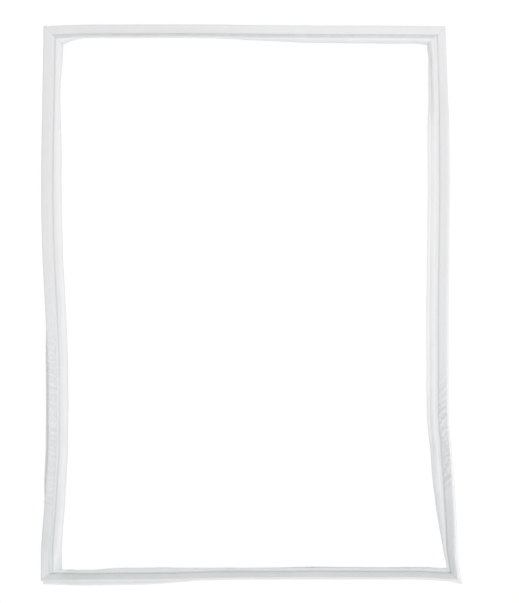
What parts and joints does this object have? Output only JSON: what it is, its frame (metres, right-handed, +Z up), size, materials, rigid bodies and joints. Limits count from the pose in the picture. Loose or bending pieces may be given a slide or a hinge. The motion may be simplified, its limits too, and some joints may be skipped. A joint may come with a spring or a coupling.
{
  "type": "refrigerator door gasket",
  "caption": "White PVC door gasket frame with welded mitred corners, a magnet head, a sealing fin and a push-in dart, lying loose.",
  "frame": {"origin": "centre of the bounding box at the surface the gasket lies on", "axes": "+Z up from that surface towards the magnet head, +Y along the longer sides towards the top side in the picture, +X towards the right side in the picture"},
  "size_m": [0.5364, 0.714, 0.0248],
  "materials": {
    "soft_pvc": "satin white soft PVC",
    "magnet_rubber": "matt ferrite-filled rubber"
  },
  "bodies": {
    "root": {"seal_body": "soft_pvc", "magnet_strip_bottom": "magnet_rubber", "magnet_strip_right": "magnet_rubber", "magnet_strip_top": "magnet_rubber", "magnet_strip_left": "magnet_rubber"}
  },
  "joints": []
}
